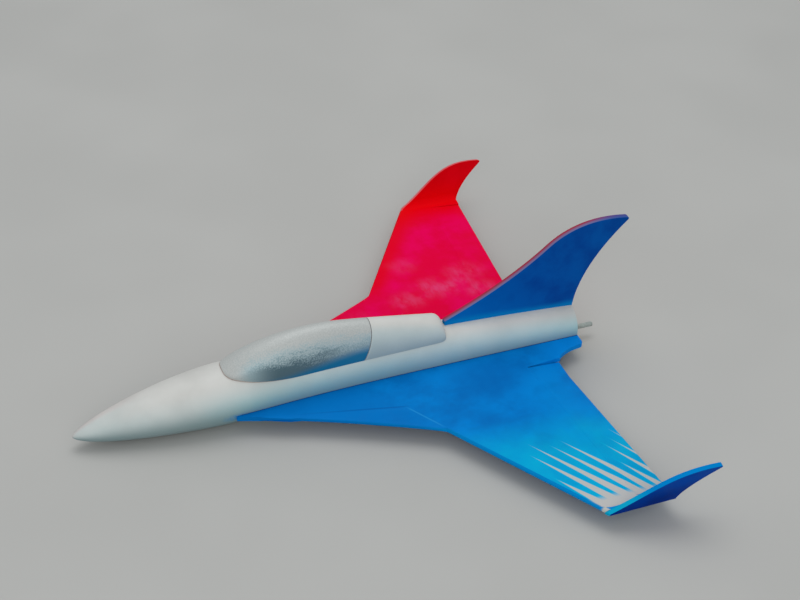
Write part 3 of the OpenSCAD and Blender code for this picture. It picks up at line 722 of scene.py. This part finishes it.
RED_BEAD = plain_look("red_bead", (150, 0, 30))

Side = namedtuple("Side", "name sign slot wing winglet bead")
SIDES = (
    Side("left", 1, "blue_paint", BLUE, BLUE_WINGLET, BLUE_BEAD),
    Side("right", -1, "red_paint", RED, SCARLET, RED_BEAD),
)


# Body skins

SHELL_WALL = 4
BAY_HALF = 14
BAY_X0 = 95.5
BAY_X1 = -99.5
FIN_HALF = 3.5
# Rounding of the tail's edge: distance from the end, and inset
TAIL_EDGE = ((0.9, 0), (0.45, 0.1), (0.15, 0.4), (0, 0.9))
NOSE_ROWS = 56
NOSE_STEPS = 96
# How closely the nose's rings crowd towards its tip
NOSE_CROWD = 1.9
# Rows from the join over the front of the bay, its rear and the fin's front to the tail
SHELL_ROWS = (10, 48, 9, 40)
LOWER_STEPS = 64
# Steps of the upper shell's section up to the bay, up to the fin's slot, and over that slot
SIDE_STEPS = 24
BAY_STEPS = 8
SLOT_STEPS = 4


def nose_skin():
    rings = [[(NOSE_X, 0, max(mid_z(NOSE_X), 0))]]
    for t in spread(0, 1, NOSE_ROWS)[1:]:
        x = NOSE_X - (NOSE_X - JOIN_X) * t**NOSE_CROWD
        rings.append([on_skin(x, a) for a in around(NOSE_STEPS)])
    return tube(rings)


def body_rows():
    """Stations of the shells, with their inset, from the join to the rounded tail edge."""
    points = [JOIN_X, BAY_X0, BAY_X1, FIN_FRONT, TAIL_X + TAIL_EDGE[0][0]]
    rows = [(x, 0) for x in marks(points, SHELL_ROWS)]
    return rows + [(TAIL_X + back, inset) for back, inset in TAIL_EDGE[1:]]


def upper_angles(x, out):
    low = level_angle(x, SHEET_TOP, out)
    bay, slot = side_angle(x, BAY_HALF, out), side_angle(x, FIN_HALF, out)
    half = marks([low, bay, slot, math.pi / 2], [SIDE_STEPS, BAY_STEPS, SLOT_STEPS // 2])
    return half + [math.pi - a for a in reversed(half[:-1])]


def lower_angles(x, out):
    low = level_angle(x, SHEET_BOTTOM, out)
    return spread(math.pi - low, 2 * math.pi + low, LOWER_STEPS)


def shell_grids(rows, angles):
    """The outer and the inner grid of points of a body shell."""
    outer = [[on_skin(x, a, -inset) for a in angles(x, -inset)] for x, inset in rows]
    inner = [[on_skin(x, a, -SHELL_WALL) for a in angles(x, -SHELL_WALL)] for x, _ in rows]
    return outer, inner


def upper_skin():
    """The upper shell, open over the bay and along the fin's slot."""
    rows = body_rows()
    bay = range(SIDE_STEPS, SIDE_STEPS + 2 * BAY_STEPS + SLOT_STEPS)
    slot = range(SIDE_STEPS + BAY_STEPS, SIDE_STEPS + BAY_STEPS + SLOT_STEPS)

    def keep(i, j):
        x = (rows[i][0] + rows[i + 1][0]) / 2
        return not (BAY_X1 < x < BAY_X0 and j in bay) and not (x < FIN_FRONT and j in slot)

    return shell(*shell_grids(rows, upper_angles), keep)


def lower_skin():
    return shell(*shell_grids(body_rows(), lower_angles))


make_piece("nose_skin", nose_skin(), "airframe", [WHITE], ["nose_block"])
make_piece("upper_skin", upper_skin(), "airframe", [WHITE, BALSA], ["upper_shell"])
make_piece("lower_skin", lower_skin(), "airframe", [WHITE, BALSA], ["lower_shell"])


# Hatch skins

HATCH_X0 = 130.5
HATCH_X1 = -30.5
CANOPY_LEN = HATCH_X0 - HATCH_X1
DECK_X0 = -30.6
DECK_X1 = -131.6
HATCH_WALL = 3
HATCH_CLEAR = 0.4
HATCH_STEPS = 72
CANOPY_ROWS = 60
DECK_ROWS = 30
END_ROWS = 14
# Lower edge: its height, its climb to the front, and the share of the canopy over which it climbs
HATCH_EDGE_Z = 53.5
EDGE_CLIMB = 12
CLIMB_SHARE = 0.565
CLIMB_POWER = 2.2
CLIMB_X = HATCH_X0 - CLIMB_SHARE * CANOPY_LEN
# Front outline and lip of the canopy
FRONT_RUN = 12.5
FRONT_POWER = 4
FRONT_LEAST = 0.001
FRONT_LIP = 1.2
# The canopy is solid in front of the bay, up to this distance from it
SOLID_END = 4
# Round end of the deck, and how much it draws in at the sides
DECK_ROUND = 9
END_SHARE = 0.25
END_TURN = math.radians(88)
# Top line: its highest point, and its fall to both sides
HUMP_X = 14.5
HUMP_RISE = 30
HUMP_POWER = 2.3
HUMP_FALL = 0.155
HUMP_TURN = 25
# Joint between canopy and deck: how far and how soon it bows back over the top
JOINT_BOW = 11.5
JOINT_POWER = 1.7
BOW_POWER = 3
# Rounding of the two edges that meet at the joint: distance from the edge, and inset
JOINT_EDGE = ((0.7, 0), (0.4, 0.06), (0.15, 0.25), (0, 0.55))
# Rows next to the joint that show its dark line
SEAM_ROWS = 2
# How closely the rows of the canopy crowd towards its front
CANOPY_CROWD = 1.7
# Line round the canopy's front: length, radius, lift, fade at both ends, and steps
LIP_RUN = 70
LIP_R = 0.4
LIP_LIFT = 0.15
LIP_CROWD = 2.2
LIP_FADE = 30
LIP_END = 0.25
LIP_ROWS = 60
LIP_STEPS = 8


def end_round(x):
    d = DECK_ROUND - min(x - DECK_X1, DECK_ROUND)
    return DECK_ROUND - root(DECK_ROUND**2 - d * d)


def hatch_w(x):
    climb = EDGE_CLIMB * (max(x - CLIMB_X, 0) / (HATCH_X0 - CLIMB_X)) ** CLIMB_POWER
    ahead = max(x - HATCH_X0 + FRONT_RUN, 0) / FRONT_RUN
    front = max(1 - ahead**FRONT_POWER, FRONT_LEAST) ** (1 / FRONT_POWER)
    return skin_y(x, HATCH_EDGE_Z + climb) * front - end_round(x) * END_SHARE


def hatch_top(x):
    if x > HUMP_X:
        hump = HUMP_RISE * (1 - ((x - HUMP_X) / (HATCH_X0 - HUMP_X)) ** HUMP_POWER)
    else:
        hump = HUMP_RISE - HUMP_FALL * (math.hypot(HUMP_X - x, HUMP_TURN) - HUMP_TURN)
    return body_top(x) + FRONT_LIP + HATCH_CLEAR + hump - end_round(x)


def hatch_inner(x, y):
    w = hatch_w(x) - HATCH_WALL
    foot = skin_z(x, w)
    return foot + (hatch_top(x) - HATCH_WALL - foot) * root(1 - (y / w) ** 2)


def hatch_rings(x, hollow, bow, inset):
    """The outer and the inner row of points of the hatch at one station."""
    outer, inner = [], []
    for a in spread(0, math.pi, HATCH_STEPS):
        xa = x - bow * (1 - (1 - max(math.sin(a), 0)) ** JOINT_POWER)
        w = hatch_w(xa)
        foot = skin_z(xa, w) + HATCH_CLEAR
        rise = (hatch_top(xa) - inset - foot) * math.sin(a)
        outer.append((xa, (w - inset) * math.cos(a), foot + rise))
        y = max(w - HATCH_WALL, w / 2) * math.cos(a)
        seat = skin_z(xa, y) + HATCH_CLEAR
        inner.append((xa, y, max(seat, hatch_inner(xa, y)) if hollow else seat))
    return outer, inner


def hatch_shell(rows, joint_rows):
    outer, inner = zip(*[hatch_rings(*row) for row in rows])
    return shell(outer, inner, joint_rows=joint_rows)


def canopy_skin():
    rows = []
    reach = (CANOPY_LEN - JOINT_EDGE[0][0]) / CANOPY_LEN
    for t in spread(0, reach ** (1 / CANOPY_CROWD), CANOPY_ROWS):
        x = HATCH_X0 - CANOPY_LEN * t**CANOPY_CROWD
        rows.append((x, x < BAY_X0 + SOLID_END, JOINT_BOW * t**BOW_POWER, 0))
    rows += [(HATCH_X1 + back, True, JOINT_BOW, inset) for back, inset in JOINT_EDGE[1:]]
    last = len(rows) - 1
    return hatch_shell(rows, range(last - SEAM_ROWS, last))


def deck_skin():
    start_x = DECK_X0 - JOINT_EDGE[0][0]
    end_x = DECK_X1 + DECK_ROUND
    rows = [(DECK_X0 - back, True, JOINT_BOW, inset) for back, inset in reversed(JOINT_EDGE[1:])]
    for t in spread(0, 1, DECK_ROWS):
        rows.append((start_x + (end_x - start_x) * t, True, JOINT_BOW * (1 - t), 0))
    for a in spread(0, END_TURN, END_ROWS)[1:]:
        rows.append((end_x - DECK_ROUND * math.sin(a), False, 0, 0))
    return hatch_shell(rows, range(SEAM_ROWS))


def lip_line():
    """A thin raised line round the front of the canopy's lower edge."""
    xs = [HATCH_X0 - LIP_RUN * t**LIP_CROWD for t in spread(0, 1, LIP_ROWS)]
    path = [(x, hatch_w(x)) for x in reversed(xs)] + [(x, -hatch_w(x)) for x in xs]
    path = [Vector((x, y, skin_z(x, y) + HATCH_CLEAR + LIP_LIFT)) for x, y in path]
    last = len(path) - 1
    rings = []
    for n, spot in enumerate(path):
        ahead = (path[min(n + 1, last)] - path[max(n - 1, 0)]).normalized()
        flat = ahead.cross(Vector(UP)).normalized()
        up = flat.cross(ahead)
        thick = LIP_R * min(1, LIP_END + min(n, last - n) / LIP_FADE)
        turns = [math.cos(a) * flat + math.sin(a) * up for a in around(LIP_STEPS)]
        rings.append([tuple(spot + thick * turn) for turn in turns])
    return tube(rings)


make_piece("canopy_lip", lip_line(), "hatch", [RIM])
make_piece("canopy_skin", canopy_skin(), "hatch", [SILVER, RIM, SEAM], ["canopy"])
make_piece("deck_skin", deck_skin(), "hatch", [WHITE, BALSA, SEAM], ["turtle_deck"])


# Sheet parts: the CAD plates with their cut edges rounded, and the strakes

# A point of the hinge line on the left side
HINGE_X = -219.372
HINGE_Y = 61
MERGE_DISTANCE = 2e-6
FLAT_ANGLE = math.radians(0.4)
EDGE_ANGLE = math.radians(50)
BEVEL_STEPS = 3
WING_ROUND = 1.6
LEADING_ROUND = 2.5
WINGLET_ROUND = 1.3
ELEVON_ROUND = 0.7
FIN_ROUND = 1.5
# Most that the two ends of a level edge differ in height, and that an edge lies off the leading edge
LEVEL_SLACK = 0.05
LEADING_SLACK = 1.2
# Rear edges of a wing: behind the hinge line by this much, outside the body, and behind this station
REAR_START = 6
REAR_Y = 26
REAR_X = -222
# Cut edges start this far behind the hinge, above the sheet's middle, and above the body
ELEVON_REAR = 34
WINGLET_FOOT = 1.5
FIN_FOOT = 0.4

STRAKE_HALF = 2.3
STRAKE_ROUND = 2.0
# Most of a narrow strake's width that its round edge takes
ROUND_SHARE = 0.8
ROUND_STEPS = 12
# Shares of the strake's edge at its two ends, and rows up to the seam's corner and beyond it
STRAKE_ENDS = (STRAKE_SHARE + 0.004, 0.997)
STRAKE_ROWS = (44, 36)


def hinge_off(p):
    """How far a point lies ahead of the hinge line, in millimetres."""
    return (p.x - HINGE_X + (abs(p.y) - HINGE_Y) * math.tan(TE_SWEEP)) * math.cos(TE_SWEEP)


def plate(name, node, body, material, rounds):
    """A copy of a CAD plate whose chosen edges are rounded; rounds gives (test, radius) pairs."""
    mesh_bm = bmesh.new()
    mesh_bm.from_mesh(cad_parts[node].data)
    bmesh.ops.remove_doubles(mesh_bm, verts=mesh_bm.verts, dist=MERGE_DISTANCE)
    bmesh.ops.dissolve_limit(mesh_bm, angle_limit=FLAT_ANGLE, verts=mesh_bm.verts, edges=mesh_bm.edges)
    for test, radius in rounds:
        chosen = []
        for edge in mesh_bm.edges:
            if len(edge.link_faces) == 2 and edge.calc_face_angle() > EDGE_ANGLE:
                if test(*(v.co / MM for v in edge.verts)):
                    chosen.append(edge)
        bmesh.ops.bevel(
            mesh_bm, geom=chosen, offset=radius * MM, segments=BEVEL_STEPS, profile=0.5,
            affect="EDGES", clamp_overlap=True,
        )
    bmesh.ops.remove_doubles(mesh_bm, verts=mesh_bm.verts, dist=MERGE_DISTANCE)
    bmesh.ops.dissolve_degenerate(mesh_bm, edges=mesh_bm.edges, dist=MERGE_DISTANCE)
    piece = make_piece(name, mesh_bm, body, [material], [node])
    weights = piece.modifiers.new("even_shading", "WEIGHTED_NORMAL")
    weights.keep_sharp = True


def level(a, b):
    return abs(a.z - b.z) < LEVEL_SLACK


def wing_rim(a, b):
    """Rear edges of a wing panel: tip strip, notch and shelf."""
    mid = (a + b) / 2
    return level(a, b) and hinge_off(mid) < -REAR_START and abs(mid.y) > REAR_Y and mid.x < REAR_X


def leading_rim(a, b):
    mid = (a + b) / 2
    y = abs(mid.y)
    return level(a, b) and y > SEAM_Y and abs(mid.x - le_x(y)) < LEADING_SLACK


def winglet_rim(a, b):
    return min(a.z, b.z) > WING_Z + WINGLET_FOOT


def fin_rim(a, b):
    return all(p.z > body_top(min(max(p.x, TAIL_X), FIN_FRONT)) + FIN_FOOT for p in (a, b))


def elevon_rim(a, b):
    return max(hinge_off(a), hinge_off(b)) < -ELEVON_REAR


def strake_skin(sign):
    """The strake with a round edge, as rings from the seam to the edge."""
    rings = []
    for t in marks([STRAKE_ENDS[0], STRAKE_TURN, STRAKE_ENDS[1]], STRAKE_ROWS):
        seam, edge = strake_seam(t), strake_edge(t)
        across = edge - seam
        r = min(STRAKE_ROUND, ROUND_SHARE * across.length)
        centre = edge - across.normalized() * r
        ring = [(seam, STRAKE_HALF)]
        for angle in spread(math.pi / 2, -math.pi / 2, ROUND_STEPS):
            flat = (STRAKE_HALF - r) * ((angle > 0) - (angle < 0))
            ring.append((centre + across.normalized() * r * math.cos(angle), r * math.sin(angle) + flat))
        ring.append((seam, -STRAKE_HALF))
        rings.append([(p.x, sign * p.y, WING_Z + z) for p, z in ring])
    return tube(rings)


for side in SIDES:
    plate(
        f"{side.name}_wing_panel", f"{side.name}_wing", "airframe", side.wing,
        [(wing_rim, WING_ROUND), (leading_rim, LEADING_ROUND)],
    )
    make_piece(
        f"{side.name}_strake_panel", strake_skin(side.sign), "airframe", [side.wing],
        [f"{side.name}_strake"],
    )
    plate(
        f"{side.name}_winglet_panel", f"{side.name}_winglet", "airframe", side.winglet,
        [(winglet_rim, WINGLET_ROUND)],
    )
    plate(
        f"{side.name}_elevon_panel", f"{side.name}_elevon", f"{side.name}_elevon", side.wing,
        [(elevon_rim, ELEVON_ROUND)],
    )
plate("fin_panel", "fin", "airframe", FIN, [(fin_rim, FIN_ROUND)])


# Filler sanded along the seam between wing and strake

FILLER_WIDE = 6
FILLER_LAP = 0.4
FILLER_INSET = 0.5
FILLER_ROWS = 90
# Most of a narrow strake's width that the filler takes
FILLER_SHARE = 0.4
# Lengths over which the filler turns at the seam's corner, and its lap over the rounded edge comes and goes
CORNER_RUN = 12
LAP_START = 4
LAP_END = 30
# Section of the filler: share of its lap, share of its width, and height above the sheet's middle
FILLER_SECTION = ((1, 0, 3.01), (0, 0, 2.99), (0, 0.35, 2.74), (0, 1, 2.28), (0, 1, 1.9), (1, 0, 1.9))


def seam_filler(sign, face):
    """A thin wedge that evens out the step, on the upper (1) or the lower (-1) face."""
    lines = [b - a for a, b in zip(SEAM_CORNERS, SEAM_CORNERS[1:])]
    outs = [Vector((line.y, -line.x)).normalized() for line in lines]
    corner = lines[0].length
    total = corner + lines[1].length
    rings = []
    for s in spread(FILLER_INSET, total - FILLER_INSET, FILLER_ROWS):
        if s < corner:
            t = STRAKE_SHARE + (STRAKE_TURN - STRAKE_SHARE) * s / corner
        else:
            t = STRAKE_TURN + (1 - STRAKE_TURN) * (s - corner) / lines[1].length
        spot = strake_seam(t)
        turn = min(max((s - corner) / CORNER_RUN + 0.5, 0), 1)
        out = (outs[0] * (1 - turn) + outs[1] * turn).normalized()
        wide = min(FILLER_WIDE, FILLER_SHARE * (strake_edge(t) - spot).length)
        rounded = min(1, max(s - corner + LAP_START, 0) / LAP_START, (total - s) / LAP_END)
        lap = FILLER_LAP + LEADING_ROUND * rounded
        ring = []
        for back, across, rise in FILLER_SECTION:
            place = spot + out * (across * wide - back * lap)
            ring.append((place.x, sign * place.y, WING_Z + face * rise))
        rings.append(ring)
    return tube(rings)


for side in SIDES:
    for face, ending in ((1, ""), (-1, "_below")):
        filler = seam_filler(side.sign, face)
        make_piece(f"{side.name}_seam_filler{ending}", filler, "airframe", [side.wing])


# Fillets between the wing tips and the winglets

FILLET_R = 11
FILLET_ROWS = 14
FILLET_STATIONS = 40
FILLET_INSET = 1.2
FILLET_SINK = 0.3
# How far the winglet's leading edge runs back for its height
WINGLET_SLOPE = 1.66


def fillet(sign):
    """A hollow round between the top of the sheet and the winglet's inner face."""
    corner_y = HALF_SPAN + SHEET_HALF * math.tan(WINGLET_LEAN)
    half_turn = (math.pi / 2 - WINGLET_LEAN) / 2
    reach = FILLET_R * math.tan(half_turn)
    rows = []
    for t in spread(0, 1, FILLET_ROWS):
        angle = -math.pi / 2 + 2 * half_turn * t
        y = corner_y - reach + FILLET_R * math.cos(angle)
        z = SHEET_TOP + FILLET_R * (1 + math.sin(angle))
        rise = (z - WING_Z) / math.cos(WINGLET_LEAN)
        winglet_front = TIP_LE - rise * WINGLET_SLOPE
        front = (1 - t) * le_x(min(y, corner_y)) + t * winglet_front - FILLET_INSET
        rows.append((y, z, front, TIP_TE + FILLET_INSET * (1 - t)))
    corner = (corner_y + FILLET_SINK, SHEET_TOP - FILLET_SINK, *rows[FILLET_ROWS // 2][2:])
    rings = []
    for share in spread(0, 1, FILLET_STATIONS):
        rings.append([(f + (r - f) * share, sign * y, z) for y, z, f, r in rows + [corner]])
    return tube(rings)


for side in SIDES:
    make_piece(f"{side.name}_tip_fillet", fillet(side.sign), "airframe", [side.wing])


# Beads along the line where the wing sheet leaves the body, darker than the wings

# Section of a bead: out from the body, and above the sheet
BEAD_SECTION = ((-0.6, 0.05), (-0.25, 0.75), (0.12, 0.42), (0.42, 0.14), (0.95, -0.2), (0.3, -0.3))
BEAD_X0 = 118
BEAD_X1 = TAIL_X + 0.6
BEAD_ROWS = 120


def bead(sign):
    rings = []
    for x in spread(BEAD_X0, BEAD_X1, BEAD_ROWS):
        y = skin_y(x, SHEET_TOP)
        rings.append([(x, sign * (y + out), SHEET_TOP + rise) for out, rise in BEAD_SECTION])
    return tube(rings)


for side in SIDES:
    make_piece(f"{side.name}_root_bead", bead(side.sign), "airframe", [side.bead])


# Keel rod with a softened free end

ROD_Z = 15.4
ROD_X0 = 153.9
ROD_X1 = TAIL_X - 33
ROD_CORE_R = 2.7
ROD_R = 3.0
ROD_STEPS = 40
# Rounding of the free end: distance from the end, and inset
ROD_EDGE = ((1.2, 0), (0.5, 0.25), (0.1, 0.8), (0, 1.6))
# Broken edge of the shoulder at the tail: length and depth
SHOULDER_EDGE = (0.2, 0.05)


def rod_skin():
    profile = [(ROD_X0, ROD_CORE_R), (TAIL_X, ROD_CORE_R), (TAIL_X, ROD_R - SHOULDER_EDGE[1])]
    profile.append((TAIL_X - SHOULDER_EDGE[0], ROD_R))
    profile += [(ROD_X1 + back, ROD_R - inset) for back, inset in ROD_EDGE]
    rings = [[(ROD_X0, 0, ROD_Z)]]
    for x, r in profile:
        rings.append([(x, r * math.cos(a), ROD_Z + r * math.sin(a)) for a in around(ROD_STEPS)])
    rings.append([(ROD_X1, 0, ROD_Z)])
    return tube(rings)


make_piece("rod_skin", rod_skin(), "airframe", [ROD], ["keel_rod"])


# CAD nodes that keep their own shape

KEPT = {
    CROSS_BALSA: (
        "former_front", "former_bay_front", "former_bay_rear", "former_tail", "tail_plug",
        "belly_former_front", "belly_former_mid", "belly_former_rear", "belly_tail_plug",
        "hatch_former_front", "hatch_former_mid", "hatch_former_rear",
    ),
    BALSA: ("bay_ledges", "hatch_plate"),
    SPRUCE: ("front_spar", "rear_spar"),
    STEEL: ("left_hinge_tabs", "right_hinge_tabs", "left_hinge_wire", "right_hinge_wire"),
    NICKEL: ("bay_magnets", "hatch_magnets"),
    LEAD: ("nose_ballast",),
}
for material, names in KEPT.items():
    for node in names:
        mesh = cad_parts[node].data
        mesh.materials.clear()
        mesh.materials.append(material)


# Floor, soft lights and a dome that darkens towards the horizon

FLOOR_HALF = 9.0
FLOOR_GRID = 8
FLOOR_Z = -0.0004
# Soft lights: name, place, aim and power
LIGHTS = (
    ("overhead", (-0.35, -0.75, 2.7), (-0.02, 0, 0), 24),
    ("front_fill", (0.9, 2.6, 1.4), (0, 0, 0), 22),
)
LIGHT_SIZE = 2.2
# Height on the dome, from the horizon at 0 to the top at 1, and colour there
DOME = ((0.0, (0.55, 0.555, 0.56, 1)), (0.75, (0.72, 0.74, 0.76, 1)))
DOME_STRENGTH = 0.8

floor_bm = bmesh.new()
bmesh.ops.create_grid(floor_bm, x_segments=FLOOR_GRID, y_segments=FLOOR_GRID, size=FLOOR_HALF)
floor_mesh = bpy.data.meshes.new("floor")
floor_bm.to_mesh(floor_mesh)
floor_bm.free()
floor = bpy.data.objects.new("floor", floor_mesh)
floor.location.z = FLOOR_Z
scene.collection.objects.link(floor)
floor_look = Look("pale_floor", roughness=0.9, specular=0.05)
floor_colour = floor_look.two_tone(floor_look.noise(3, 2), (178, 178, 175), (182, 182, 179))
floor_mesh.materials.append(floor_look.finish(floor_colour))

for name, place, aim, power in LIGHTS:
    light = bpy.data.lights.new(name, "AREA")
    light.shape = "DISK"
    light.size = LIGHT_SIZE
    light.energy = power
    lamp = bpy.data.objects.new(name, light)
    lamp.location = place
    lamp.rotation_mode = "QUATERNION"
    lamp.rotation_quaternion = (Vector(aim) - Vector(place)).to_track_quat("-Z", "Y")
    lamp.visible_camera = False
    scene.collection.objects.link(lamp)

world = bpy.data.worlds.new("studio")
world.use_nodes = True
scene.world = world
tree = world.node_tree
direction = tree.nodes.new("ShaderNodeTexCoord")
split = tree.nodes.new("ShaderNodeSeparateXYZ")
dome = tree.nodes.new("ShaderNodeValToRGB")
for stop, (position, colour) in zip(dome.color_ramp.elements, DOME):
    stop.position = position
    stop.color = colour
tree.links.new(direction.outputs["Generated"], split.inputs[0])
tree.links.new(split.outputs["Z"], dome.inputs["Fac"])
tree.links.new(dome.outputs["Color"], tree.nodes["Background"].inputs["Color"])
tree.nodes["Background"].inputs["Strength"].default_value = DOME_STRENGTH

bpy.context.view_layer.update()
